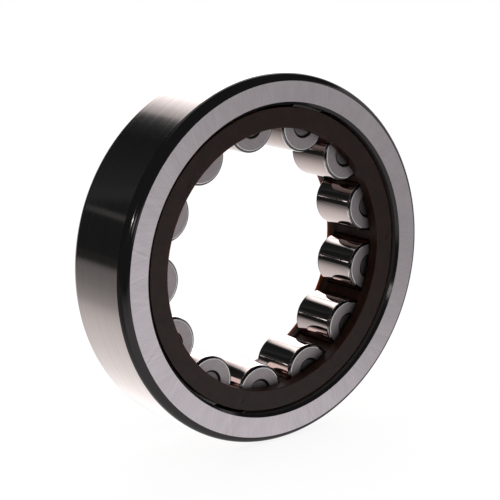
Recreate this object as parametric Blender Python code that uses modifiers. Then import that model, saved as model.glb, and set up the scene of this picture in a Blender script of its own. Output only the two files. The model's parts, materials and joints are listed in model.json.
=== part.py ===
"""Cylindrical roller bearing without an inner ring: outer ring, window cage and loose rollers.

Sizes are in metres. Each piece is turned about its own Z axis, and one empty stands the
bearing up: its axis then lies along world Y, with the front face towards -Y and the origin
at the middle of the bearing.
"""

import math

import bmesh
import bpy

# Rollers
ROLLER_DIAMETER = 0.016
ROLLER_LENGTH = 0.016
ROLLER_CORNER_RADIUS = 0.0009
ROLLER_ENVELOPE = 0.065  # circle that the rollers leave free for the shaft
RECESS_DIAMETER = 0.0075  # round recess in each roller end
RECESS_DEPTH = 0.0006
RECESS_WALL = 0.0006  # radial width of the recess's sloping wall
FIRST_ROLLER_ANGLE = math.radians(-13.25)

# Outer ring
RING_WALL = 0.0062  # raceway to outside diameter
FLANGE_HEIGHT = 0.00275
FLANGE_WIDTH = 0.0052
FLANGE_CHAMFER = 0.0008
CORNER_RADIAL = 0.00205  # rounded outer corner, measured on the side face
CORNER_AXIAL = 0.0029  # rounded outer corner, measured along the outside diameter
RELIEF_GROOVE = 0.0006  # grinding relief between raceway and flange

# Cage
CAGE_INSET = 0.0016  # side ring's face behind the outer ring's face
CAGE_WALL = 0.00615
BAR_SETBACK = 0.0007  # crossbars behind the side rings' bore
LEAST_BAR_WIDTH = 0.0025
BORE_EDGE_RADIUS = 0.0003
RIM_EDGE = 0.0002
POCKET_EDGE = 0.0004

# Running clearances
RACEWAY_CLEARANCE = 0.0003
FLANGE_CLEARANCE = 0.0003
CAGE_CLEARANCE = 0.0008  # cage to flange bore
POCKET_CLEARANCE = 0.00025
POCKET_END_CLEARANCE = 0.0003

# Fineness of the round surfaces
RING_STEPS = 90  # leaves a flat facet, not an edge, at the lowest point of the rim
ROLLER_STEPS = 24
CAGE_STEPS_PER_POCKET = 6
POCKET_STEPS = 32
CORNER_SEGMENTS = 4
EDGE_SEGMENTS = 2
MERGE_DISTANCE = 0.000001
SHARP_ANGLE = math.radians(25)

# Sizes that follow from the ones above
ROLLER_RADIUS = ROLLER_DIAMETER / 2
PITCH_RADIUS = ROLLER_ENVELOPE / 2 + ROLLER_RADIUS
RACEWAY_RADIUS = PITCH_RADIUS + ROLLER_RADIUS + RACEWAY_CLEARANCE
OUTER_RADIUS = RACEWAY_RADIUS + RING_WALL
FLANGE_RADIUS = RACEWAY_RADIUS - FLANGE_HEIGHT
GROOVE_HALF = ROLLER_LENGTH / 2 + FLANGE_CLEARANCE
HALF_WIDTH = GROOVE_HALF + FLANGE_WIDTH

CAGE_RADIUS = FLANGE_RADIUS - CAGE_CLEARANCE
CAGE_BORE = CAGE_RADIUS - CAGE_WALL
BAR_BORE = CAGE_BORE + BAR_SETBACK
CAGE_HALF = HALF_WIDTH - CAGE_INSET
POCKET_RADIUS = ROLLER_RADIUS + POCKET_CLEARANCE
POCKET_HALF = ROLLER_LENGTH / 2 + POCKET_END_CLEARANCE

# As many rollers as the pitch circle takes with a sound crossbar between two pockets
ROLLER_COUNT = int(math.pi / math.asin((POCKET_RADIUS + LEAST_BAR_WIDTH / 2) / PITCH_RADIUS))
ROLLER_SPACING = math.tau / ROLLER_COUNT


def clear_scene():
    """Remove every object that the file started with."""
    for obj in list(bpy.data.objects):
        bpy.data.objects.remove(obj)


def new_collection(name):
    """Add a collection to the scene."""
    collection = bpy.data.collections.new(name)
    bpy.context.scene.collection.children.link(collection)
    return collection


def new_material(name, colour, metallic, roughness):
    """A Principled material of one colour."""
    material = bpy.data.materials.new(name)
    material.use_nodes = True
    shader = material.node_tree.nodes["Principled BSDF"]
    shader.inputs["Base Color"].default_value = (*colour, 1.0)
    shader.inputs["Metallic"].default_value = metallic
    shader.inputs["Roughness"].default_value = roughness
    return material


def arc(centre, radius, start, end, segments):
    """Points of an arc in the profile plane, both ends included."""
    points = []
    for step in range(segments + 1):
        angle = start + (end - start) * step / segments
        points.append((centre[0] + radius * math.cos(angle), centre[1] + radius * math.sin(angle)))
    return points


def mirrored(upper):
    """The upper half of a profile, followed by its mirror image below the middle plane."""
    return upper + [(radius, -height) for radius, height in reversed(upper)]


def ring_profile():
    """Closed outline of the outer ring, from the raceway over the flange to the outer corner."""
    relief = [
        (RACEWAY_RADIUS, GROOVE_HALF - RELIEF_GROOVE),
        (RACEWAY_RADIUS + RELIEF_GROOVE / 2, GROOVE_HALF + RELIEF_GROOVE / 2),
        (RACEWAY_RADIUS - RELIEF_GROOVE, GROOVE_HALF),
    ]
    flange = [
        (FLANGE_RADIUS, GROOVE_HALF),
        (FLANGE_RADIUS, HALF_WIDTH - FLANGE_CHAMFER),
        (FLANGE_RADIUS + FLANGE_CHAMFER, HALF_WIDTH),
    ]
    # One arc, tangent to the outside diameter, that ends on the side face
    radius = (CORNER_RADIAL ** 2 + CORNER_AXIAL ** 2) / (2 * CORNER_RADIAL)
    centre = (OUTER_RADIUS - radius, HALF_WIDTH - CORNER_AXIAL)
    start = math.atan2(CORNER_AXIAL, radius - CORNER_RADIAL)
    corner = arc(centre, radius, start, 0.0, CORNER_SEGMENTS)
    return mirrored(relief + flange + corner)


def cage_profile():
    """Closed outline of the cage's sleeve, with the bore relieved between the side rings."""
    bore = [
        (BAR_BORE, POCKET_HALF - BAR_SETBACK / 2),
        (CAGE_BORE, POCKET_HALF + BAR_SETBACK / 2),
    ]
    edge_centre = (CAGE_BORE + BORE_EDGE_RADIUS, CAGE_HALF - BORE_EDGE_RADIUS)
    bore_edge = arc(edge_centre, BORE_EDGE_RADIUS, math.pi, math.pi / 2, EDGE_SEGMENTS)
    rim = [
        (CAGE_RADIUS - RIM_EDGE, CAGE_HALF),
        (CAGE_RADIUS, CAGE_HALF - RIM_EDGE),
    ]
    return mirrored(bore + bore_edge + rim)


def roller_profile():
    """Open outline of a roller, from the axis at one end to the axis at the other."""
    half = ROLLER_LENGTH / 2
    recess = [
        (0.0, half - RECESS_DEPTH),
        (RECESS_DIAMETER / 2 - RECESS_WALL, half - RECESS_DEPTH),
        (RECESS_DIAMETER / 2, half),
    ]
    corner_centre = (ROLLER_RADIUS - ROLLER_CORNER_RADIUS, half - ROLLER_CORNER_RADIUS)
    corner = arc(corner_centre, ROLLER_CORNER_RADIUS, math.pi / 2, 0.0, EDGE_SEGMENTS)
    return mirrored(recess + corner)


def turned(name, profile, closed, steps, collection):
    """An object turned about Z from a profile in the XZ plane."""
    points = [(radius, 0.0, height) for radius, height in profile]
    edges = [(index, index + 1) for index in range(len(points) - 1)]
    if closed:
        edges.append((len(points) - 1, 0))
    mesh = bpy.data.meshes.new(name)
    mesh.from_pydata(points, edges, [])
    obj = bpy.data.objects.new(name, mesh)
    collection.objects.link(obj)
    screw = obj.modifiers.new("Turn", 'SCREW')
    screw.axis = 'Z'
    screw.steps = steps
    screw.render_steps = steps
    screw.use_merge_vertices = True
    screw.merge_threshold = MERGE_DISTANCE
    return obj


def settle(obj):
    """Apply the object's modifiers and shade it smooth between its sharp edges."""
    bpy.context.view_layer.update()
    depsgraph = bpy.context.evaluated_depsgraph_get()
    mesh = bpy.data.meshes.new_from_object(obj.evaluated_get(depsgraph))
    obj.modifiers.clear()
    obj.data = mesh
    mesh.name = obj.name
    mesh.shade_smooth()
    mesh.set_sharp_from_angle(angle=SHARP_ANGLE)


def place_on_pitch_circle(obj, index, carrier):
    """Seat a roller, or the cutter of its pocket, in the cage."""
    angle = index * ROLLER_SPACING
    obj.parent = carrier
    obj.location = (PITCH_RADIUS * math.cos(angle), PITCH_RADIUS * math.sin(angle), 0.0)
    obj.rotation_euler = (0.0, 0.0, angle)


def pocket_mesh():
    """Round cutter of one roller pocket, with its end edges eased."""
    mesh = bpy.data.meshes.new("pocket_cutter")
    shape = bmesh.new()
    bmesh.ops.create_cone(shape, cap_ends=True, segments=POCKET_STEPS, radius1=POCKET_RADIUS,
                          radius2=POCKET_RADIUS, depth=2 * POCKET_HALF)
    rims = [edge for edge in shape.edges if abs(edge.verts[0].co.z - edge.verts[1].co.z) < POCKET_HALF]
    bmesh.ops.bevel(shape, geom=rims, offset=POCKET_EDGE, segments=1, profile=0.5, affect='EDGES')
    shape.to_mesh(mesh)
    shape.free()
    return mesh


def build_outer_ring(collection, axis, material):
    """One-piece outer ring with two flanges that guide the rollers."""
    ring = turned("outer_ring", ring_profile(), True, RING_STEPS, collection)
    ring.parent = axis
    settle(ring)
    ring.data.materials.append(material)


def build_cage(collection, cutters, axis, material):
    """One-piece window cage: two side rings joined by the crossbars between the pockets."""
    cage = turned("cage", cage_profile(), True, ROLLER_COUNT * CAGE_STEPS_PER_POCKET, collection)
    cage.parent = axis
    cage.rotation_euler = (0.0, 0.0, FIRST_ROLLER_ANGLE)
    pocket = pocket_mesh()
    for index in range(ROLLER_COUNT):
        cutter = bpy.data.objects.new(f"pocket_cutter_{index + 1:02d}", pocket)
        cutters.objects.link(cutter)
        place_on_pitch_circle(cutter, index, cage)
        cutter.hide_render = True
        cutter.display_type = 'WIRE'
    windows = cage.modifiers.new("Pockets", 'BOOLEAN')
    windows.operation = 'DIFFERENCE'
    windows.operand_type = 'COLLECTION'
    windows.collection = cutters
    settle(cage)
    cage.data.materials.append(material)
    return cage


def build_rollers(collection, cage, material):
    """The rollers, each free to turn about its own axis in its pocket."""
    first = turned("roller_01", roller_profile(), False, ROLLER_STEPS, collection)
    settle(first)
    first.data.name = "roller"
    first.data.materials.append(material)
    place_on_pitch_circle(first, 0, cage)
    for index in range(1, ROLLER_COUNT):
        roller = bpy.data.objects.new(f"roller_{index + 1:02d}", first.data)
        collection.objects.link(roller)
        place_on_pitch_circle(roller, index, cage)


def main():
    clear_scene()
    parts = new_collection("cylindrical_roller_bearing")
    cutters = new_collection("cutters")

    axis = bpy.data.objects.new("bearing_axis", None)
    axis.rotation_euler = (math.pi / 2, 0.0, 0.0)
    parts.objects.link(axis)

    ring_steel = new_material("ground_ring_steel", (0.42, 0.40, 0.41), 1.0, 0.28)
    roller_steel = new_material("polished_roller_steel", (0.50, 0.49, 0.49), 1.0, 0.12)
    polyamide = new_material("dark_brown_polyamide", (0.021, 0.017, 0.014), 0.0, 0.45)

    build_outer_ring(parts, axis, ring_steel)
    cage = build_cage(parts, cutters, axis, polyamide)
    build_rollers(parts, cage, roller_steel)


main()
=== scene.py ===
"""Studio scene of a cylindrical roller bearing, laid out as an add-on.

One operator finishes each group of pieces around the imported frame, and one sets up the stage.
Lengths are in metres. The bearing's axis lies along Y, and its front face looks towards -Y.
"""

import json
import math
from collections import namedtuple

import bmesh
import bpy
from bpy.props import FloatProperty, FloatVectorProperty, IntProperty, PointerProperty
from mathutils import Matrix, Vector


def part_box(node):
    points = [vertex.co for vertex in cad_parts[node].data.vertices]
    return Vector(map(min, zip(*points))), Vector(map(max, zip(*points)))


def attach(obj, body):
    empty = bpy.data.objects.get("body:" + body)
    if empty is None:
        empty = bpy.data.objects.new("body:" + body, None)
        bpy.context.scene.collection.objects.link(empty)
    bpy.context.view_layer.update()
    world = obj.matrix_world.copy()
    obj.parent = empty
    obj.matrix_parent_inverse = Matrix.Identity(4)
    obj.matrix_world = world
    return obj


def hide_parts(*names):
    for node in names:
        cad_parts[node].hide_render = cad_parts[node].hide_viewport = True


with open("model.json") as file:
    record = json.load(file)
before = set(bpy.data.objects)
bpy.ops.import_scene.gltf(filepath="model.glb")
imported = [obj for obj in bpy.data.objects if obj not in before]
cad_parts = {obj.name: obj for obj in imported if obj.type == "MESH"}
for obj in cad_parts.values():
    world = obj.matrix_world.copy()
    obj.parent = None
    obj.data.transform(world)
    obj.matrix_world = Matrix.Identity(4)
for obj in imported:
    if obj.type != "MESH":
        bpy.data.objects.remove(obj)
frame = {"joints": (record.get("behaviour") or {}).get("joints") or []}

bl_info = {
    "name": "Cylindrical roller bearing",
    "version": (1, 0, 0),
    "blender": (4, 5, 0),
    "location": "View3D > Sidebar > Bearing",
    "description": "Finished pieces and studio of a cylindrical roller bearing",
    "category": "Object",
}

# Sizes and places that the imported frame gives
OUTER_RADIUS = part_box("outer_ring")[1].x
HALF_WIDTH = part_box("outer_ring")[1].y
CAGE_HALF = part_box("cage")[1].y
ROLLER_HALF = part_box("roller_01")[1].y
ROLLER_CENTRES = {joint["child"]: Vector(joint["pos_m"]) for joint in frame["joints"]
                  if joint["child"].startswith("roller_")}
ROLLER_COUNT = len(ROLLER_CENTRES)
FIRST_ANGLE = math.atan2(ROLLER_CENTRES["roller_01"].z, ROLLER_CENTRES["roller_01"].x)

# Names of the finished pieces
RING_PIECE = "ring"
CAGE_PIECE = "window_cage"
ROLLER_PIECES = {node: node + "_polished" for node in sorted(ROLLER_CENTRES)}

# Order of the finishes on each piece
RING_FACE, RING_RIM, RING_CORNER, RING_GROOVE = range(4)
CAGE_SIDE, CAGE_SMOOTH = range(2)
ROLLER_BODY, ROLLER_END, ROLLER_RECESS, ROLLER_CORNER_PAINTED_SHADE, ROLLER_EDGE_PAINTED_HIGHLIGHT, ROLLER_WALL_PAINTED_SHADE = range(6)

# Share of a face's normal along the axis, where one finish goes over into another
SQUARE_FACE = 0.999  # above it, a side face of the ring or an end face of a roller
CAGE_FACE = 0.9  # above it, a side face of the cage
REAR_POLISH = 0.42  # below it, the part of the ring's rear corner that is polished with the rim
BODY_END = 0.05  # below it, the running surface of a roller
CORNER_PAINTED_SHADE = (0.5, 0.98)  # between them, the middle of a roller's front corner, which carries a painted shade

# Modelling
EASE_SEGMENTS = 8
CORNER_SEGMENTS = 24  # of the ring's outer corner
POCKET_STEPS = 96
MARK_STEPS = 32
MARKED_BARS = (0.5, 5.5, 9.5)  # places of the ejector marks, counted in pockets from the first roller
RECESS_RIM = 0.4  # upper share of the wall of a roller's recess, which carries a painted shade
HOLD = 0.00006  # flat strip beside an eased edge, which keeps the shading of the face flat
MERGE_DISTANCE = 0.000001
SHARP_ANGLE = math.radians(17)
BEVEL_ANGLE = math.radians(35)
CENTRE_ATTRIBUTE = "about_centre"  # a roller's own coordinates, which its finishes read

# Finishes
NOISE_RANGE = (0.3, 0.7)  # holds nearly all values of a noise
ACROSS_AXIS = (1.0, 0.0, 1.0)  # keeps what lies across the axis
WHITE = (1.0, 1.0, 1.0, 1.0)

# Brightness of the floor in reflections, from left to right at three depths: (x, brightness)
FRONT_FLOOR = ((-0.29, 0.0), (-0.2, 0.6), (-0.13, 1.0), (0.0, 0.83), (0.12, 0.40), (0.16, 0.38),
               (0.2, 0.41), (0.26, 0.47))
NEAR_FLOOR = ((-0.37, 0.02), (-0.31, 0.115), (-0.27, 0.145), (-0.205, 0.165), (-0.165, 0.2),
              (-0.135, 0.27), (-0.12, 0.33), (-0.104, 0.51), (-0.087, 0.645), (-0.065, 0.785),
              (-0.05, 0.95), (-0.04, 1.15), (-0.033, 1.3), (-0.015, 1.15), (0.01, 0.85))
FAR_FLOOR = ((-0.25, 0.02), (-0.207, 0.02), (-0.203, 0.13), (-0.135, 0.23), (-0.09, 0.34),
             (-0.06, 0.46), (-0.03, 0.60), (0.0, 0.76), (0.03, 0.90), (0.06, 1.0))
FRONT_SLANT = 0.4  # share of the depth that is added to x on the front floor
FAR_SLANT = 0.75  # the same for the line where the near floor goes over into the far floor
FRONT_EDGE = (-0.02, 0.01)  # depths between which the front floor goes over into the floor behind
FAR_EDGE = (-0.005, 0.015)  # values of that line between which the near floor goes over into the far floor
FLOOR_REACH = 6.0

# Brightness of the surround from left to right of the backdrop's edge: (azimuth in degrees, brightness)
SURROUND = ((-36.0, 0.014), (-33.7, 0.012), (-32.6, 0.035), (-30.0, 0.023), (-22.0, 0.0155),
            (-12.0, 0.012), (-5.6, 0.02), (-1.6, 0.045), (0.4, 0.10), (2.8, 0.42), (5.8, 0.62),
            (7.3, 0.78), (10.3, 1.1), (14.5, 1.5), (17.0, 2.0))
SURROUND_CORNER = 38.3  # elevation in degrees of the corner of the backdrop's edge
SURROUND_SLANT = 4.0  # degrees that the edge leans to the left for each degree above its corner
SLANT_REACH = 10.0  # degrees above the corner where the leaning ends
SURROUND_SIDE = 0.32  # azimuth in radians where the bright part of the surround ends
SURROUND_TOP = (0.83, 0.9)  # heights between which it goes over into the dark top
DARK_TINT = (0.88, 1.0, 1.03, 1.0)  # of the dark part of the surround
TINT_END = (0.03, 0.3)  # brightnesses between which the tint fades out
DOME_RADIUS = 1.2
DOME_STEPS = (72, 36)
DOME_OPENINGS = ((15.0, 50.0, 40.0), (50.0, 130.0, 25.0))  # azimuth from and to, and top, in degrees
DOME_FOOT = -5.0  # elevation in degrees
SECOND_SHARE = 0.28  # brightness of what is seen in a reflection of a reflection

# Lamps by direction from the bearing in degrees, with azimuth 0 towards +Y, and the pieces that each lights
# alone; a lamp without pieces lights everything
Lamp = namedtuple("Lamp", "name azimuth elevation distance width height pieces")
LAMPS = (
    Lamp("backdrop_panel", 36.0, 19.0, 1.1, 0.8, 0.8, ()),
    Lamp("key_softbox", -136.0, 14.0, 0.8, 0.12, 0.09, ()),
    Lamp("front_strip", 170.0, 6.0, 1.0, 1.4, 0.16, ()),
    Lamp("rim_strip", -37.0, 12.7, 1.0, 0.10, 0.035, ()),
    Lamp("left_glint", -41.95, 8.4, 0.98, 0.035, 0.04, ROLLER_PIECES.values()),
    Lamp("right_glint", -38.5, 7.0, 0.98, 0.035, 0.04, ROLLER_PIECES.values()),
    Lamp("corner_light", -111.0, 20.0, 1.0, 0.025, 0.06, (RING_PIECE,)),
)


class RingSizes(bpy.types.PropertyGroup):
    """Sizes of the outer ring that the frame's boxes do not give."""

    raceway_radius: FloatProperty(name="Raceway radius", description="Track that the rollers run on",
                                  default=0.0488, unit='LENGTH')
    flange_radius: FloatProperty(name="Flange radius", description="Bore of the two flanges",
                                 default=0.04605, unit='LENGTH')
    groove_half: FloatProperty(name="Half groove", description="Middle plane to a flange's inner wall",
                               default=0.0083, unit='LENGTH')
    relief: FloatProperty(name="Relief", description="Grinding relief between raceway and flange",
                          default=0.0006, unit='LENGTH')
    chamfer: FloatProperty(name="Chamfer", description="Chamfer at the mouth of the flange bore",
                           default=0.0008, unit='LENGTH')
    corner_radial: FloatProperty(name="Corner height", description="Outer corner, on the side face",
                                 default=0.00205, unit='LENGTH')
    corner_axial: FloatProperty(name="Corner length", description="Outer corner, along the rim",
                                default=0.0029, unit='LENGTH')
    # painted shade: strip of the rim at the front corner that takes the corner's dark steel, for the darker
    # reflection of a longer rounding
    scale_reach: FloatProperty(name="Scale reach", description="Dark strip of the rim at the front corner",
                               default=0.0006, unit='LENGTH')
    edge: FloatProperty(name="Edge", description="Radius of the broken edges",
                        default=0.00015, unit='LENGTH')
    steps: IntProperty(name="Steps", description="Facets round the ring", default=360, min=24)


class CageSizes(bpy.types.PropertyGroup):
    """Sizes of the moulded cage that the frame's boxes do not give."""

    radius: FloatProperty(name="Radius", description="Outside of the side rings",
                          default=0.04525, unit='LENGTH')
    bore: FloatProperty(name="Bore", description="Inside radius of the side rings",
                        default=0.0391, unit='LENGTH')
    bar_bore: FloatProperty(name="Bar bore", description="Inside radius of the crossbars",
                            default=0.0398, unit='LENGTH')
    pocket_radius: FloatProperty(name="Pocket radius", description="Round wall of a roller pocket",
                                 default=0.00825, unit='LENGTH')
    pocket_half: FloatProperty(name="Half pocket", description="Half the length of a roller pocket",
                               default=0.0083, unit='LENGTH')
    pocket_edge: FloatProperty(name="Pocket edge", description="Radius at the ends of a pocket",
                               default=0.0004, unit='LENGTH')
    bore_edge: FloatProperty(name="Bore edge", description="Radius at the mouth of the bore",
                             default=0.0003, unit='LENGTH')
    rim_edge: FloatProperty(name="Rim edge", description="Radius at the outer rim",
                            default=0.0002, unit='LENGTH')
    mark_radius: FloatProperty(name="Mark radius", description="Ejector mark on the front face",
                               default=0.00125, unit='LENGTH')
    mark_depth: FloatProperty(name="Mark depth", description="Depth of an ejector mark",
                              default=0.00012, unit='LENGTH')
    mark_circle: FloatProperty(name="Mark circle", description="Radius that the ejector marks lie on",
                               default=0.0422, unit='LENGTH')
    steps_per_pocket: IntProperty(name="Steps", description="Facets of the sleeve per pocket",
                                  default=20, min=4)


class RollerSizes(bpy.types.PropertyGroup):
    """Sizes of a roller that the frame's boxes do not give."""

    radius: FloatProperty(name="Radius", description="Running surface", default=0.008, unit='LENGTH')
    corner: FloatProperty(name="Corner", description="Radius at the ends of the running surface",
                          default=0.0009, unit='LENGTH')
    crown_length: FloatProperty(name="Crown length", description="Relieved stretch at each end",
                                default=0.0036, unit='LENGTH')
    crown_drop: FloatProperty(name="Crown drop", description="Relief of the running surface's ends",
                              default=0.00002, unit='LENGTH')
    recess_radius: FloatProperty(name="Recess radius", description="Round recess in each end",
                                 default=0.00375, unit='LENGTH')
    recess_depth: FloatProperty(name="Recess depth", description="Depth of the recess",
                                default=0.0006, unit='LENGTH')
    recess_wall: FloatProperty(name="Recess wall", description="Width of the recess's sloping wall",
                               default=0.0006, unit='LENGTH')
    steps: IntProperty(name="Steps", description="Facets round a roller", default=96, min=12)


class FinishColours(bpy.types.PropertyGroup):
    """Colours of the finishes."""

    ring_face: FloatVectorProperty(name="Ring face", description="Ground steel of the side faces",
                                   default=(0.60, 0.545, 0.575), subtype='COLOR', min=0.0, max=1.0)
    ring_rim: FloatVectorProperty(name="Ring rim", description="Polished steel of the outside",
                                  default=(0.72, 0.63, 0.61), subtype='COLOR', min=0.0, max=1.0)
    # the dark corner steel, also laid as a painted shade on a strip of the rim at the front corner
    ring_scale: FloatVectorProperty(name="Ring scale", description="Dark hardened steel of the corners",
                                    default=(0.040, 0.037, 0.037), subtype='COLOR', min=0.0, max=1.0)
    ring_groove: FloatVectorProperty(name="Ring groove", description="Dull steel of bores and raceway",
                                     default=(0.16, 0.144, 0.14), subtype='COLOR', min=0.0, max=1.0)
    roller_body: FloatVectorProperty(name="Roller body", description="Mirror steel of the rollers",
                                     default=(0.67, 0.56, 0.535), subtype='COLOR', min=0.0, max=1.0)
    roller_end: FloatVectorProperty(name="Roller end", description="Satin steel of the roller ends",
                                    default=(0.42, 0.375, 0.39), subtype='COLOR', min=0.0, max=1.0)
    roller_recess: FloatVectorProperty(name="Roller recess", description="Turned recess in a roller end",
                                       default=(0.24, 0.22, 0.223), subtype='COLOR', min=0.0, max=1.0)
    # painted shade: dark middle of each front roller corner and the whole rear corner
    roller_corner: FloatVectorProperty(name="Roller corner", description="Dark steel of the roller corners",
                                       default=(0.11, 0.10, 0.10), subtype='COLOR', min=0.0, max=1.0)
    # painted highlight: bright lines along the front roller corners
    roller_edge: FloatVectorProperty(name="Roller edge", description="Bright lines of the roller corners",
                                     default=(0.88, 0.86, 0.86), subtype='COLOR', min=0.0, max=1.0)
    # painted shade: dark upper wall round each roller recess
    roller_wall: FloatVectorProperty(name="Roller wall", description="Dark rim of the recess",
                                     default=(0.30, 0.27, 0.27), subtype='COLOR', min=0.0, max=1.0)
    polyamide: FloatVectorProperty(name="Polyamide", description="Dark brown polyamide of the cage",
                                   default=(0.0185, 0.0082, 0.0058), subtype='COLOR', min=0.0, max=1.0)
    # painted glow: amber painted at the cage's rear bore edge in place of light shining through
    polyamide_edge: FloatVectorProperty(name="Polyamide edge", description="Amber of the bore's rear edge",
                                        default=(0.16, 0.045, 0.010), subtype='COLOR', min=0.0, max=1.0)
    floor: FloatVectorProperty(name="Floor", description="Pale studio floor",
                               default=(0.85, 0.85, 0.85), subtype='COLOR', min=0.0, max=1.0)


class StageSettings(bpy.types.PropertyGroup):
    """Camera and light of the studio, with the brightness of each lamp under the lamp's name."""

    camera_place: FloatVectorProperty(name="Camera place", description="Where the camera stands",
                                      default=(-0.30184, -0.39284, 0.12339), subtype='TRANSLATION')
    camera_azimuth: FloatProperty(name="Azimuth", description="Turn of the camera about Z",
                                  default=math.radians(-37.456), subtype='ANGLE')
    camera_elevation: FloatProperty(name="Elevation", description="Tilt of the camera's view downwards",
                                    default=math.radians(13.867), subtype='ANGLE')
    camera_roll: FloatProperty(name="Roll", description="Turn of the camera about its view",
                               default=math.radians(-1.297), subtype='ANGLE')
    lens: FloatProperty(name="Lens", description="Focal length in millimetres", default=123.155)
    ambient: FloatProperty(name="Ambient", description="Strength of the soft light from all round",
                           default=0.65)
    backdrop_panel: FloatProperty(name="Backdrop", description="Brightness of the lit backdrop panel",
                                  default=1.7)
    key_softbox: FloatProperty(name="Key", description="Brightness of the key softbox", default=5.0)
    front_strip: FloatProperty(name="Front", description="Brightness of the low strip in front",
                               default=1.2)
    rim_strip: FloatProperty(name="Strip", description="Brightness of the strip that the rim shows",
                             default=0.045)
    left_glint: FloatProperty(name="Left glint", description="Brightness of the left one of twin lamps",
                              default=2.2)
    right_glint: FloatProperty(name="Right glint", description="Brightness of the right one", default=0.88)
    corner_light: FloatProperty(name="Corner", description="Brightness of the ring corner's small lamp",
                                default=160.0)
    floor_white: FloatProperty(name="Floor white", description="Brightness that shows the floor white",
                               default=1.15)
    pale_share: FloatProperty(name="Pale share", description="Share of the floor that shows no shadow",
                              default=0.75, subtype='FACTOR')


def add_node(tree, kind, settings=None, inputs=None):
    """Add a shader node, set its options, and set or link its inputs."""
    node = tree.nodes.new(kind)
    for name, value in (settings or {}).items():
        setattr(node, name, value)
    for key, value in (inputs or {}).items():
        if isinstance(value, bpy.types.NodeSocket):
            tree.links.new(value, node.inputs[key])
        else:
            node.inputs[key].default_value = value
    return node


def math_node(tree, operation, first, second=0.0, third=0.0):
    """Output of a Math node on numbers or sockets."""
    inputs = {0: first, 1: second, 2: third}
    return add_node(tree, "ShaderNodeMath", {"operation": operation}, inputs).outputs[0]


def vector_node(tree, operation, first, second=None):
    """A Vector Math node on one or two vectors or sockets."""
    inputs = {0: first}
    if second is not None:
        inputs[1] = second
    return add_node(tree, "ShaderNodeVectorMath", {"operation": operation}, inputs)


def times(tree, vector, factors):
    """A vector or shade multiplied by a factor for each axis or colour."""
    return vector_node(tree, 'MULTIPLY', vector, tuple(factors)).outputs[0]


def length(tree, vector):
    """Length of a vector."""
    return vector_node(tree, 'LENGTH', vector).outputs["Value"]


def parts(tree, vector):
    """The X, Y and Z of a vector."""
    return add_node(tree, "ShaderNodeSeparateXYZ", None, {0: vector}).outputs


def remap(tree, value, low, high, to_low, to_high):
    """Output of a clamped Map Range node."""
    limits = {"From Min": low, "From Max": high, "To Min": to_low, "To Max": to_high}
    return add_node(tree, "ShaderNodeMapRange", None, {"Value": value, **limits}).outputs[0]


def spread(tree, pattern, low, high):
    """A noise spread out between two values."""
    return remap(tree, pattern, *NOISE_RANGE, low, high)


def blend(tree, share, first, second):
    """Output of a Mix node on two numbers or sockets."""
    return add_node(tree, "ShaderNodeMix", None, {"Factor": share, 2: first, 3: second}).outputs[0]


def blend_colours(tree, share, first, second):
    """Output of a Mix node on two colours or sockets."""
    inputs = {"Factor": share, 6: first, 7: second}
    return add_node(tree, "ShaderNodeMix", {"data_type": 'RGBA'}, inputs).outputs[2]


def brightness_ramp(tree, value, stops):
    """Brightness that runs straight between stops of (value, brightness)."""
    low, high = stops[0][0], stops[-1][0]
    share = remap(tree, value, low, high, 0.0, 1.0)
    ramp = add_node(tree, "ShaderNodeValToRGB", None, {"Fac": share})
    elements = ramp.color_ramp.elements
    for _ in stops[2:]:
        elements.new(0.5)
    for element, (place, brightness) in zip(elements, stops):
        element.position = (place - low) / (high - low)
        element.color = (brightness, brightness, brightness, 1.0)
    return ramp.outputs["Color"]


def noise(tree, vector, scale=1.0, detail=2.0, roughness=0.5):
    """Value of a Noise Texture."""
    inputs = {"Vector": vector, "Scale": scale, "Detail": detail, "Roughness": roughness}
    return add_node(tree, "ShaderNodeTexNoise", None, inputs).outputs[0]


def new_material(name, metallic, roughness):
    """A Principled material, with its tree and shader."""
    material = bpy.data.materials.new(name)
    material.use_nodes = True
    tree = material.node_tree
    shader = tree.nodes["Principled BSDF"]
    shader.inputs["Metallic"].default_value = metallic
    shader.inputs["Roughness"].default_value = roughness
    return material, tree, shader


def bare_tree(owner):
    """Emptied node tree of a material or world."""
    owner.use_nodes = True
    owner.node_tree.nodes.clear()
    return owner.node_tree


def object_coordinates(tree):
    """Object coordinates of the piece."""
    return add_node(tree, "ShaderNodeTexCoord").outputs["Object"]


def roller_coordinates(tree):
    """Coordinates of a roller about its own centre."""
    return add_node(tree, "ShaderNodeAttribute", {"attribute_name": CENTRE_ATTRIBUTE}).outputs["Vector"]


def set_finish(tree, shader, colour, shade, roughness):
    """Link a shaded colour and a roughness to the shader."""
    tree.links.new(times(tree, shade, colour), shader.inputs["Base Color"])
    tree.links.new(roughness, shader.inputs["Roughness"])


def set_bump(tree, shader, height, strength, distance):
    """Drive the shader's normal from a height."""
    inputs = {"Strength": strength, "Distance": distance, "Height": height}
    bump = add_node(tree, "ShaderNodeBump", None, inputs)
    tree.links.new(bump.outputs["Normal"], shader.inputs["Normal"])


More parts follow.
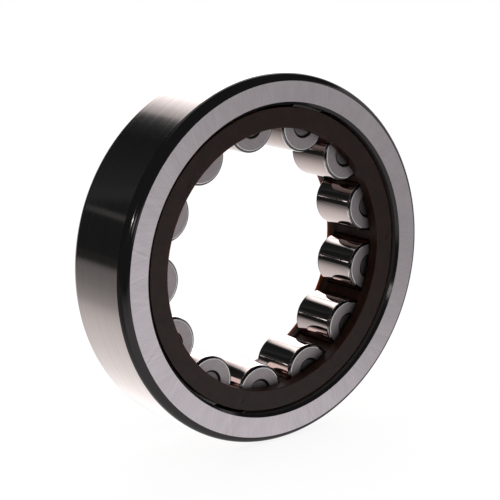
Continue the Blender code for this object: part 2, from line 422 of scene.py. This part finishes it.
def ground_face_steel(colours):
    """Side faces: ground, with fine lines that cross the face both ways at a slight slant."""
    line_slant = 6.1  # radians of turn per metre of radius
    lines_per_metre = 2400.0
    clouds_per_metre = 160.0
    hatch_range = (0.7, 1.3)  # holds nearly all values of the two noises together
    material, tree, shader = new_material("ground_face_steel", 1.0, 0.3)
    flat = times(tree, object_coordinates(tree), ACROSS_AXIS)
    radius = length(tree, flat)
    lines = []
    for slant in (line_slant, -line_slant):
        angle = math_node(tree, 'MULTIPLY', radius, slant)
        turned = add_node(tree, "ShaderNodeVectorRotate", {"rotation_type": 'Y_AXIS'},
                          {"Vector": flat, "Angle": angle}).outputs[0]
        on_circle = vector_node(tree, 'NORMALIZE', turned).outputs[0]
        lines.append(noise(tree, on_circle, lines_per_metre * OUTER_RADIUS, roughness=0.6))
    hatch = math_node(tree, 'ADD', lines[0], lines[1])
    clouds = spread(tree, noise(tree, flat, clouds_per_metre), -0.03, 0.03)
    shade = math_node(tree, 'ADD', remap(tree, hatch, *hatch_range, 0.86, 1.06), clouds)
    set_finish(tree, shader, colours.ring_face, shade, remap(tree, hatch, *hatch_range, 0.36, 0.27))
    set_bump(tree, shader, hatch, 0.06, 0.00003)
    return material


def polished_rim_steel(colours):
    """Outside diameter: finely ground to a mirror, with faint lines round the ring."""
    streaks_per_metre = (14.0, 1100.0, 14.0)
    material, tree, shader = new_material("polished_rim_steel", 1.0, 0.08)
    streaks = noise(tree, times(tree, object_coordinates(tree), streaks_per_metre), detail=3.0)
    shade = spread(tree, streaks, 0.93, 1.02)
    set_finish(tree, shader, colours.ring_rim, shade, spread(tree, streaks, 0.075, 0.12))
    set_bump(tree, shader, streaks, 0.06, 0.00002)
    return material


def scaled_steel(name, colour):
    """Corners, flange bores and raceway: left dark by the hardening, with rings of fine tool marks; on the
    ring the corners' steel also covers a strip of the rim at the front as a painted shade.
    """
    marks_per_metre = 6000.0
    material, tree, shader = new_material(name, 0.75, 0.2)
    place = object_coordinates(tree)
    radius = length(tree, times(tree, place, ACROSS_AXIS))
    section = add_node(tree, "ShaderNodeCombineXYZ", None, {"X": radius, "Y": parts(tree, place)["Y"]})
    marks = noise(tree, section.outputs[0], marks_per_metre)
    shade = spread(tree, marks, 0.85, 1.05)
    set_finish(tree, shader, colour, shade, spread(tree, marks, 0.08, 0.14))
    shader.inputs["Specular Tint"].default_value = (0.5, 0.5, 0.5, 1.0)
    return material


def mirror_roller_steel(colours):
    """Running surface of a roller: superfinished, with the relieved ends a little duller."""
    streaks_per_metre = (60.0, 4000.0, 60.0)
    dull_start, dull_end = 0.0042, 0.0056  # from the middle of the roller
    material, tree, shader = new_material("mirror_roller_steel", 1.0, 0.06)
    place = roller_coordinates(tree)
    streaks = noise(tree, times(tree, place, streaks_per_metre))
    from_middle = math_node(tree, 'ABSOLUTE', parts(tree, place)["Y"])
    dull = remap(tree, from_middle, dull_start, dull_end, 0.0, 0.04)
    roughness = math_node(tree, 'ADD', dull, spread(tree, streaks, 0.04, 0.065))
    set_finish(tree, shader, colours.roller_body, spread(tree, streaks, 0.95, 1.0), roughness)
    return material


def satin_end_steel(colours):
    """End faces of a roller: ground satin, with faint straight lines."""
    lines_per_metre = (1500.0, 0.0, 220.0)
    material, tree, shader = new_material("satin_end_steel", 1.0, 0.3)
    lines = noise(tree, times(tree, roller_coordinates(tree), lines_per_metre))
    shade = spread(tree, lines, 0.95, 1.03)
    set_finish(tree, shader, colours.roller_end, shade, spread(tree, lines, 0.58, 0.52))
    return material


def painted_edge_steel(name, colour, roughness):
    """Narrow edges of a roller, faintly mottled, in a colour that paints the light and shade they reflect:
    dark for a painted shade, bright for a painted highlight.
    """
    spots_per_metre = 900.0
    material, tree, shader = new_material(name, 1.0, roughness)
    spots = noise(tree, roller_coordinates(tree), spots_per_metre)
    shade = spread(tree, spots, 0.85, 1.1)
    set_finish(tree, shader, colour, shade, spread(tree, spots, roughness - 0.04, roughness + 0.04))
    return material


def turned_recess_steel(colours):
    """Recess in a roller end: darker, with turned rings."""
    rings_per_metre = 5000.0
    material, tree, shader = new_material("turned_recess_steel", 1.0, 0.35)
    from_centre = length(tree, roller_coordinates(tree))
    outwards = add_node(tree, "ShaderNodeCombineXYZ", None, {"X": from_centre}).outputs[0]
    rings = noise(tree, outwards, rings_per_metre)
    shade = spread(tree, rings, 0.88, 1.05)
    set_finish(tree, shader, colours.roller_recess, shade, spread(tree, rings, 0.56, 0.48))
    return material


def moulded_polyamide(name, colours, roughness, gloss):
    """Dark brown polyamide, faintly mottled, that lets a little light into its skin."""
    mottle_per_metre = 260.0
    fibres_per_metre = 5200.0
    material, tree, shader = new_material(name, 0.0, roughness)
    place = object_coordinates(tree)
    mottle = noise(tree, place, mottle_per_metre, 4.0, 0.6)
    fibres = noise(tree, place, fibres_per_metre, roughness=0.6)
    shade = math_node(tree, 'ADD', spread(tree, mottle, 0.72, 1.2), spread(tree, fibres, -0.07, 0.09))
    rough = spread(tree, fibres, roughness + 0.05, roughness - 0.05)
    set_finish(tree, shader, colours.polyamide, shade, rough)
    shader.inputs["Specular IOR Level"].default_value = gloss
    shader.inputs["Subsurface Weight"].default_value = 1.0
    shader.inputs["Subsurface Radius"].default_value = (1.0, 0.35, 0.15)
    shader.inputs["Subsurface Scale"].default_value = 0.004
    set_bump(tree, shader, fibres, 0.08, 0.00003)
    return material


def smooth_polyamide_painted_glow(colours, bore):
    """The same in bore, pockets and rim, with a painted glow: the bore's rear edge turns amber, painted in
    place of light shining through.
    """
    glow_start, glow_width = 0.0003, 0.0022
    glow_falloff = 1.4
    material = moulded_polyamide("smooth_polyamide_painted_glow", colours, 0.33, 0.12)
    tree = material.node_tree
    colour = tree.nodes["Principled BSDF"].inputs["Base Color"]
    place = object_coordinates(tree)
    radius = length(tree, times(tree, place, ACROSS_AXIS))
    # painted glow: mask of the bore's rear edge, where amber is painted in place of light shining through
    rear = remap(tree, parts(tree, place)["Y"], CAGE_HALF - glow_width, CAGE_HALF, 0.0, 1.0)
    inner = remap(tree, radius, bore + glow_start, bore + glow_width, 1.0, 0.0)
    painted_glow = math_node(tree, 'POWER', math_node(tree, 'MULTIPLY', rear, inner), glow_falloff)
    brown = colour.links[0].from_socket
    tree.links.new(blend_colours(tree, painted_glow, brown, (*colours.polyamide_edge, 1.0)), colour)
    return material


def eased_outline(corners):
    """Outline through corners of (radius, height, ease), each eased by an arc between held strips."""
    points = []
    for index, (radius, height, ease) in enumerate(corners):
        corner = Vector((radius, height))
        if ease == 0.0:
            points.append(corner)
            continue
        before = (Vector(corners[index - 1][:2]) - corner).normalized()
        after = (Vector(corners[(index + 1) % len(corners)][:2]) - corner).normalized()
        half_angle = before.angle(after) / 2
        reach = ease / math.tan(half_angle)
        centre = corner + (before + after).normalized() * ease / math.sin(half_angle)
        start = corner + before * reach - centre
        end = corner + after * reach - centre
        first = math.atan2(start.y, start.x)
        turn = (math.atan2(end.y, end.x) - first + math.pi) % math.tau - math.pi
        points.append(corner + before * (reach + HOLD))
        points += arc(centre, ease, first, first + turn, EASE_SEGMENTS)
        points.append(corner + after * (reach + HOLD))
    return points


def arc(centre, radius, start, end, segments):
    """Points of an arc, both ends included."""
    points = []
    for step in range(segments + 1):
        angle = start + (end - start) * step / segments
        points.append(Vector(centre) + radius * Vector((math.cos(angle), math.sin(angle))))
    return points


def mirrored(upper):
    """The upper half of an outline, followed by its mirror image below the middle plane."""
    return upper + [Vector((point.x, -point.y)) for point in reversed(upper)]


def spin_outline(outline, closed, steps):
    """A bmesh turned about Y from an outline of radius and height."""
    shape = bmesh.new()
    verts = [shape.verts.new((point.x, point.y, 0.0)) for point in outline]
    edges = [shape.edges.new(pair) for pair in zip(verts, verts[1:])]
    if closed:
        edges.append(shape.edges.new((verts[-1], verts[0])))
    bmesh.ops.spin(shape, geom=verts + edges, cent=(0.0, 0.0, 0.0), axis=(0.0, 1.0, 0.0),
                   dvec=(0.0, 0.0, 0.0), angle=math.tau, steps=steps, use_merge=True)
    bmesh.ops.remove_doubles(shape, verts=shape.verts, dist=MERGE_DISTANCE)
    bmesh.ops.recalc_face_normals(shape, faces=shape.faces)
    return shape


def turn_about_axis(shape, angle):
    """Turn a bmesh about Y."""
    bmesh.ops.rotate(shape, verts=shape.verts, cent=(0.0, 0.0, 0.0),
                     matrix=Matrix.Rotation(angle, 3, 'Y'))


def finish_piece(name, shape, materials, zone=None, place=(0.0, 0.0, 0.0)):
    """An object from a bmesh, each face with the material that zone picks for it, or with the first."""
    for face in shape.faces:
        face.smooth = True
        face.material_index = zone(face) if zone else 0
    bmesh.ops.translate(shape, verts=shape.verts, vec=place)
    mesh = bpy.data.meshes.new(name)
    shape.to_mesh(mesh)
    shape.free()
    mesh.set_sharp_from_angle(angle=SHARP_ANGLE)
    for material in materials:
        mesh.materials.append(material)
    piece = bpy.data.objects.new(name, mesh)
    bpy.context.scene.collection.objects.link(piece)
    return piece


def seat_piece(piece, node):
    """Put a finished piece in the place of its frame node."""
    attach(piece, node)
    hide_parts(node)


def face_radius(face):
    """Distance of a face's centre from the Y axis."""
    centre = face.calc_center_median()
    return math.hypot(centre.x, centre.z)


class BEARING_OT_outer_ring(bpy.types.Operator):
    """Make the outer ring with its two flanges"""

    bl_idname = "bearing.outer_ring"
    bl_label = "Outer ring"

    def execute(self, context):
        sizes = context.scene.bearing_ring
        colours = context.scene.bearing_colours
        shape = spin_outline(self.outline(sizes), True, sizes.steps)
        materials = [ground_face_steel(colours), polished_rim_steel(colours),
                     scaled_steel("scaled_corner_steel_and_painted_shade", colours.ring_scale),
                     scaled_steel("scaled_groove_steel", colours.ring_groove)]
        ring = finish_piece(RING_PIECE, shape, materials, lambda face: self.zone(face, sizes))
        seat_piece(ring, "outer_ring")
        return {'FINISHED'}

    @staticmethod
    def zone(face, sizes):
        """Finish of a face by its place on the ring."""
        radius = face_radius(face)
        height = face.calc_center_median().y
        face_inner = sizes.flange_radius + sizes.chamfer
        face_outer = OUTER_RADIUS - sizes.corner_radial
        # below rim_start the front strip of the rim takes the corners' dark steel, a painted shade for the
        # darker reflection of a longer corner rounding
        rim_start = sizes.corner_axial + sizes.scale_reach - HALF_WIDTH
        if abs(face.normal.y) > SQUARE_FACE and face_inner < radius < face_outer:
            return RING_FACE
        if radius > face_outer:
            polished = height > rim_start and face.normal.y < REAR_POLISH
            return RING_RIM if polished else RING_CORNER
        return RING_GROOVE if abs(height) < HALF_WIDTH - sizes.chamfer else RING_CORNER

    @staticmethod
    def outline(sizes):
        """From the raceway over the flange, round the corner and back along the rim."""
        edge = sizes.edge
        upper = eased_outline([
            (sizes.raceway_radius, sizes.groove_half - sizes.relief, 0.0),
            (sizes.raceway_radius + sizes.relief / 2, sizes.groove_half + sizes.relief / 2, edge),
            (sizes.raceway_radius - sizes.relief, sizes.groove_half, 0.0),
            (sizes.flange_radius, sizes.groove_half, edge),
            (sizes.flange_radius, HALF_WIDTH - sizes.chamfer, edge),
            (sizes.flange_radius + sizes.chamfer, HALF_WIDTH, edge),
            (OUTER_RADIUS - sizes.corner_radial - HOLD, HALF_WIDTH, 0.0),
        ])
        radius = (sizes.corner_radial ** 2 + sizes.corner_axial ** 2) / (2 * sizes.corner_radial)
        centre = (OUTER_RADIUS - radius, HALF_WIDTH - sizes.corner_axial)
        start = math.atan2(sizes.corner_axial, radius - sizes.corner_radial)
        corner = arc(centre, radius, start, 0.0, CORNER_SEGMENTS)
        # loop where the painted shade strip on the rim ends
        rim = [Vector((OUTER_RADIUS, HALF_WIDTH - sizes.corner_axial - sizes.scale_reach))]
        return mirrored(upper + corner + rim)


class BEARING_OT_cage(bpy.types.Operator):
    """Make the one-piece window cage"""

    bl_idname = "bearing.cage"
    bl_label = "Cage"

    def execute(self, context):
        sizes = context.scene.bearing_cage
        colours = context.scene.bearing_colours
        sleeve = spin_outline(self.outline(sizes), True, ROLLER_COUNT * sizes.steps_per_pocket)
        turn_about_axis(sleeve, -FIRST_ANGLE)
        materials = [moulded_polyamide("moulded_polyamide", colours, 0.25, 0.23),
                     smooth_polyamide_painted_glow(colours, sizes.bore)]
        cage = finish_piece(CAGE_PIECE, sleeve, materials)
        self.cut(cage, self.cutters(sizes))
        edges = cage.modifiers.new("Eased edges", 'BEVEL')
        edges.width = sizes.pocket_edge / 2
        edges.segments = 2
        edges.limit_method = 'ANGLE'
        edges.angle_limit = BEVEL_ANGLE
        edges.harden_normals = True
        seat_piece(cage, "cage")
        return {'FINISHED'}

    @staticmethod
    def outline(sizes):
        """Section of the sleeve, with the bore relieved between the side rings."""
        slope = (sizes.bar_bore - sizes.bore) / 2
        upper = eased_outline([
            (sizes.bar_bore, sizes.pocket_half - slope, 0.0),
            (sizes.bore, sizes.pocket_half + slope, 0.0),
            (sizes.bore, CAGE_HALF, sizes.bore_edge),
            (sizes.radius, CAGE_HALF, sizes.rim_edge),
            (sizes.radius, 0.0, 0.0),
        ])
        return mirrored(upper[:-1])

    @staticmethod
    def cutters(sizes):
        """Round pockets for the rollers, and the ejector marks on the front face."""
        mesh = bpy.data.meshes.new("pocket_cutters")
        shape = bmesh.new()
        half = sizes.pocket_half
        pocket = eased_outline([(0.0, half, 0.0), (sizes.pocket_radius, half, sizes.pocket_edge),
                                (sizes.pocket_radius, 0.0, 0.0)])
        for centre in ROLLER_CENTRES.values():
            cutter = spin_outline(mirrored(pocket[:-1]), False, POCKET_STEPS)
            bmesh.ops.translate(cutter, verts=cutter.verts, vec=centre)
            cutter_mesh = bpy.data.meshes.new("pocket_cutter")
            cutter.to_mesh(cutter_mesh)
            cutter.free()
            shape.from_mesh(cutter_mesh)
            bpy.data.meshes.remove(cutter_mesh)
        for bar in MARKED_BARS:
            angle = FIRST_ANGLE + bar * math.tau / ROLLER_COUNT
            place = Matrix.Translation((sizes.mark_circle * math.cos(angle), -CAGE_HALF,
                                        sizes.mark_circle * math.sin(angle)))
            bmesh.ops.create_cone(shape, cap_ends=True, segments=MARK_STEPS, radius1=sizes.mark_radius,
                                  radius2=sizes.mark_radius, depth=2 * sizes.mark_depth,
                                  matrix=place @ Matrix.Rotation(math.pi / 2, 4, 'X'))
        shape.to_mesh(mesh)
        shape.free()
        return bpy.data.objects.new("pocket_cutters", mesh)

    @staticmethod
    def cut(cage, cutters):
        """Cut the windows and marks out of the sleeve and leave a plain mesh."""
        bpy.context.scene.collection.objects.link(cutters)
        windows = cage.modifiers.new("Windows", 'BOOLEAN')
        windows.operation = 'DIFFERENCE'
        windows.object = cutters
        bpy.context.view_layer.update()
        evaluated = cage.evaluated_get(bpy.context.evaluated_depsgraph_get())
        mesh = bpy.data.meshes.new_from_object(evaluated)
        cage.modifiers.clear()
        cage.data = mesh
        bpy.data.objects.remove(cutters)
        shape = bmesh.new()
        shape.from_mesh(mesh)
        bmesh.ops.remove_doubles(shape, verts=shape.verts, dist=MERGE_DISTANCE)
        for face in shape.faces:
            face.smooth = True
            face.material_index = CAGE_SIDE if abs(face.normal.y) > CAGE_FACE else CAGE_SMOOTH
        for edge in shape.edges:
            edge.smooth = True
        shape.to_mesh(mesh)
        shape.free()


class BEARING_OT_rollers(bpy.types.Operator):
    """Make the rollers"""

    bl_idname = "bearing.rollers"
    bl_label = "Rollers"

    def execute(self, context):
        sizes = context.scene.bearing_rollers
        colours = context.scene.bearing_colours
        materials = [mirror_roller_steel(colours), satin_end_steel(colours),
                     turned_recess_steel(colours),
                     painted_edge_steel("painted_shade_corner_steel", colours.roller_corner, 0.15),
                     painted_edge_steel("painted_highlight_edge_steel", colours.roller_edge, 0.15),
                     painted_edge_steel("painted_shade_wall_steel", colours.roller_wall, 0.3)]
        for turn, (node, name) in enumerate(ROLLER_PIECES.items()):
            shape = spin_outline(self.outline(sizes), False, sizes.steps)
            turn_about_axis(shape, turn)
            self.note_coordinates(shape, turn)
            roller = finish_piece(name, shape, materials, lambda face: self.zone(face, sizes),
                                  ROLLER_CENTRES[node])
            seat_piece(roller, node)
        return {'FINISHED'}

    @staticmethod
    def note_coordinates(shape, turn):
        """Keep a roller's own coordinates, turned so that no two rollers show the same marks."""
        about_centre = shape.verts.layers.float_vector.new(CENTRE_ATTRIBUTE)
        own_turn = Matrix.Rotation(turn, 3, 'Y')
        for vert in shape.verts:
            vert[about_centre] = own_turn @ vert.co

    @staticmethod
    def zone(face, sizes):
        """Finish of a face by its place on a roller."""
        along = abs(face.normal.y)
        radius = face_radius(face)
        if radius < sizes.recess_radius - RECESS_RIM * sizes.recess_wall:
            return ROLLER_RECESS
        if along > SQUARE_FACE:
            return ROLLER_END
        # painted shade: the upper wall round the recess
        if radius < sizes.recess_radius + sizes.recess_wall:
            return ROLLER_WALL_PAINTED_SHADE
        if along < BODY_END:
            return ROLLER_BODY
        # painted shade on the whole rear corner and on the middle of the front corner
        if face.normal.y > 0 or CORNER_PAINTED_SHADE[0] < along < CORNER_PAINTED_SHADE[1]:
            return ROLLER_CORNER_PAINTED_SHADE
        # painted highlight on the front corner's two edges
        return ROLLER_EDGE_PAINTED_HIGHLIGHT

    @staticmethod
    def outline(sizes):
        """From the axis at one end, over the crowned running surface, to the axis at the other."""
        floor = ROLLER_HALF - sizes.recess_depth
        foot_ease = sizes.recess_wall / 4
        rim_ease = 3 * foot_ease
        rim_foot = sizes.recess_radius - RECESS_RIM * sizes.recess_wall
        crown_start = ROLLER_HALF - sizes.crown_length
        end_radius = sizes.radius - sizes.crown_drop
        upper = eased_outline([
            (0.0, floor, 0.0),
            (sizes.recess_radius - sizes.recess_wall, floor, foot_ease),
            (rim_foot, ROLLER_HALF - RECESS_RIM * sizes.recess_depth, 0.0),
            (sizes.recess_radius, ROLLER_HALF, rim_ease),
            (end_radius, ROLLER_HALF, sizes.corner),
            (end_radius, crown_start, 0.0),
        ])[:-2]
        crown = []
        crown_height = sizes.crown_length - sizes.corner
        for step in range(1, EASE_SEGMENTS + 1):
            share = 1 - step / EASE_SEGMENTS
            radius = sizes.radius - sizes.crown_drop * share ** 2
            crown.append(Vector((radius, crown_start + crown_height * share)))
        return mirrored(upper + crown)


class BEARING_OT_stage(bpy.types.Operator):
    """Set up the floor, the surround, the light and the camera"""

    bl_idname = "bearing.stage"
    bl_label = "Stage"

    def execute(self, context):
        scene = context.scene
        settings = scene.bearing_stage
        scene.view_settings.view_transform = 'Standard'
        self.floor(scene, settings)
        self.surround()
        self.world(scene, settings)
        for lamp in LAMPS:
            self.softbox(scene, lamp, getattr(settings, lamp.name))
        self.camera(scene, settings)
        return {'FINISHED'}

    @staticmethod
    def shown_rays(tree, path):
        """1 for camera, glossy and transmission rays, which see the white background."""
        seen = math_node(tree, 'MAXIMUM', path["Is Camera Ray"], path["Is Glossy Ray"])
        return math_node(tree, 'MAXIMUM', seen, path["Is Transmission Ray"])

    @staticmethod
    def second_share(tree, path):
        """1 for a first reflection, and less for a reflection of a reflection."""
        return remap(tree, path["Glossy Depth"], 1.0, 2.0, 1.0, SECOND_SHARE)

    @staticmethod
    def mix_output(tree, kind, share, first, second):
        """Mix two shaders into the tree's output."""
        inputs = {0: share, 1: first.outputs[0], 2: second.outputs[0]}
        mixed = add_node(tree, "ShaderNodeMixShader", None, inputs)
        add_node(tree, kind, None, {"Surface": mixed.outputs[0]})

    @staticmethod
    def floor_brightness(tree):
        """Brightness of the floor in reflections, blended from its three ramps."""
        place = parts(tree, object_coordinates(tree))
        across, depth = place["X"], place["Y"]
        front_line = math_node(tree, 'MULTIPLY_ADD', depth, FRONT_SLANT, across)
        far_line = math_node(tree, 'MULTIPLY_ADD', depth, FAR_SLANT, across)
        front = brightness_ramp(tree, front_line, FRONT_FLOOR)
        near = brightness_ramp(tree, across, NEAR_FLOOR)
        far = brightness_ramp(tree, across, FAR_FLOOR)
        behind = blend(tree, remap(tree, far_line, *FAR_EDGE, 0.0, 1.0), near, far)
        return blend(tree, remap(tree, depth, *FRONT_EDGE, 0.0, 1.0), front, behind)

    @classmethod
    def floor(cls, scene, settings):
        """Pale floor that shows white, keeps a soft shadow and darkens away in reflections."""
        material = bpy.data.materials.new("pale_floor")
        tree = bare_tree(material)
        path = add_node(tree, "ShaderNodeLightPath").outputs
        falling = math_node(tree, 'MULTIPLY', cls.floor_brightness(tree), cls.second_share(tree, path))
        strength = blend(tree, path["Is Glossy Ray"], settings.floor_white, falling)
        pale = add_node(tree, "ShaderNodeBsdfDiffuse", None, {"Color": (*scene.bearing_colours.floor, 1.0)})
        white = add_node(tree, "ShaderNodeEmission", None, {"Strength": strength})
        shadowless = math_node(tree, 'MULTIPLY', cls.shown_rays(tree, path), settings.pale_share)
        share = math_node(tree, 'MAXIMUM', shadowless, path["Is Glossy Ray"])
        cls.mix_output(tree, "ShaderNodeOutputMaterial", share, pale, white)
        shape = bmesh.new()
        bmesh.ops.create_grid(shape, x_segments=1, y_segments=1, size=FLOOR_REACH)
        bmesh.ops.translate(shape, verts=shape.verts, vec=(0.0, 0.0, -OUTER_RADIUS))
        finish_piece("floor", shape, [material])

    @classmethod
    def surround(cls):
        """Dark dome that only reflections see, open to the white backdrop and paler beside it."""
        shape = bmesh.new()
        across_steps, up_steps = DOME_STEPS
        bmesh.ops.create_uvsphere(shape, u_segments=across_steps, v_segments=up_steps, radius=DOME_RADIUS)
        openings = []
        for face in shape.faces:
            centre = face.calc_center_median()
            azimuth = math.degrees(math.atan2(centre.x, centre.y))
            elevation = math.degrees(math.asin(centre.z / centre.length))
            is_open = any(start < azimuth < end and elevation < top for start, end, top in DOME_OPENINGS)
            if is_open or elevation < DOME_FOOT:
                openings.append(face)
        bmesh.ops.delete(shape, geom=openings, context='FACES')
        dome = finish_piece("dark_surround", shape, [cls.surround_glow()])
        dome.visible_camera = False
        dome.visible_diffuse = False
        dome.visible_shadow = False
        dome.visible_transmission = False

    @classmethod
    def surround_glow(cls):
        """Brightness of the surround: a ramp across the backdrop's leaning edge, and a dark top."""
        material = bpy.data.materials.new("dark_surround")
        tree = bare_tree(material)
        place = parts(tree, object_coordinates(tree))
        turn = math_node(tree, 'ARCTAN2', place["X"], place["Y"])
        tilt = math_node(tree, 'ARCSINE', math_node(tree, 'DIVIDE', place["Z"], DOME_RADIUS))
        lean = remap(tree, math_node(tree, 'DEGREES', tilt), SURROUND_CORNER,
                     SURROUND_CORNER + SLANT_REACH, 0.0, SLANT_REACH * SURROUND_SLANT)
        from_edge = math_node(tree, 'ADD', math_node(tree, 'DEGREES', turn), lean)
        below_top = remap(tree, place["Z"], *SURROUND_TOP, 1.0, 0.0)
        on_left = math_node(tree, 'LESS_THAN', turn, SURROUND_SIDE)
        lit = math_node(tree, 'MULTIPLY', below_top, on_left)
        brightness = blend(tree, lit, SURROUND[0][1], brightness_ramp(tree, from_edge, SURROUND))
        colour = blend_colours(tree, remap(tree, brightness, *TINT_END, 0.0, 1.0), DARK_TINT, WHITE)
        path = add_node(tree, "ShaderNodeLightPath").outputs
        strength = math_node(tree, 'MULTIPLY', brightness, cls.second_share(tree, path))
        glow = add_node(tree, "ShaderNodeEmission", None, {"Color": colour, "Strength": strength})
        add_node(tree, "ShaderNodeOutputMaterial", None, {"Surface": glow.outputs[0]})
        return material

    @classmethod
    def world(cls, scene, settings):
        """White to the camera and in reflections, and soft ambient light on everything else."""
        scene.world = bpy.data.worlds.new("studio")
        tree = bare_tree(scene.world)
        shown = cls.shown_rays(tree, add_node(tree, "ShaderNodeLightPath").outputs)
        ambient = add_node(tree, "ShaderNodeBackground", None,
                           {"Color": WHITE, "Strength": settings.ambient})
        white = add_node(tree, "ShaderNodeBackground", None, {"Color": WHITE, "Strength": 1.0})
        cls.mix_output(tree, "ShaderNodeOutputWorld", shown, ambient, white)

    @classmethod
    def softbox(cls, scene, lamp, brightness):
        """Rectangular lamp of a given brightness, aimed at the bearing."""
        light = bpy.data.lights.new(lamp.name, 'AREA')
        light.shape = 'RECTANGLE'
        light.size = lamp.width
        light.size_y = lamp.height
        light.energy = brightness * math.pi * lamp.width * lamp.height
        light.use_nodes = True
        tree = light.node_tree
        share = cls.second_share(tree, add_node(tree, "ShaderNodeLightPath").outputs)
        tree.links.new(share, tree.nodes["Emission"].inputs["Strength"])
        turn = math.radians(lamp.azimuth)
        tilt = math.radians(lamp.elevation)
        towards = Vector((math.sin(turn) * math.cos(tilt), math.cos(turn) * math.cos(tilt), math.sin(tilt)))
        box = bpy.data.objects.new(lamp.name, light)
        box.location = towards * lamp.distance
        box.rotation_euler = towards.to_track_quat('Z', 'Y').to_euler()
        box.visible_camera = False
        scene.collection.objects.link(box)
        if lamp.pieces:
            lit = bpy.data.collections.new(lamp.name + "_lit")
            for name in lamp.pieces:
                lit.objects.link(scene.objects[name])
            box.light_linking.receiver_collection = lit

    @staticmethod
    def camera(scene, settings):
        """Camera at the photograph's viewing angle."""
        lens = bpy.data.cameras.new("camera")
        lens.lens = settings.lens
        camera = bpy.data.objects.new("camera", lens)
        turn = (Matrix.Rotation(settings.camera_azimuth, 4, 'Z')
                @ Matrix.Rotation(math.pi / 2 - settings.camera_elevation, 4, 'X')
                @ Matrix.Rotation(settings.camera_roll, 4, 'Z'))
        camera.matrix_world = Matrix.Translation(settings.camera_place) @ turn
        scene.collection.objects.link(camera)
        scene.camera = camera


class BEARING_PT_panel(bpy.types.Panel):
    """Operators and settings of the bearing"""

    bl_idname = "BEARING_PT_panel"
    bl_label = "Roller bearing"
    bl_space_type = 'VIEW_3D'
    bl_region_type = 'UI'
    bl_category = "Bearing"

    def draw(self, context):
        layout = self.layout
        for operator in OPERATORS:
            layout.operator(operator.bl_idname)
        for name in SETTINGS:
            group = getattr(context.scene, name)
            box = layout.box()
            for key in group.__annotations__:
                box.prop(group, key)


OPERATORS = (BEARING_OT_outer_ring, BEARING_OT_cage, BEARING_OT_rollers, BEARING_OT_stage)
SETTINGS = {
    "bearing_ring": RingSizes,
    "bearing_cage": CageSizes,
    "bearing_rollers": RollerSizes,
    "bearing_colours": FinishColours,
    "bearing_stage": StageSettings,
}


def register():
    """Register the settings, operators and panel."""
    for name, group in SETTINGS.items():
        bpy.utils.register_class(group)
        setattr(bpy.types.Scene, name, PointerProperty(type=group))
    for operator in OPERATORS:
        bpy.utils.register_class(operator)
    bpy.utils.register_class(BEARING_PT_panel)


def unregister():
    """Take away what register added."""
    bpy.utils.unregister_class(BEARING_PT_panel)
    for operator in reversed(OPERATORS):
        bpy.utils.unregister_class(operator)
    for name, group in SETTINGS.items():
        delattr(bpy.types.Scene, name)
        bpy.utils.unregister_class(group)


def main():
    """Finish every piece and set the stage."""
    register()
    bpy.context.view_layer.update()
    bpy.ops.bearing.outer_ring()
    bpy.ops.bearing.cage()
    bpy.ops.bearing.rollers()
    bpy.ops.bearing.stage()


if __name__ == "__main__":
    main()
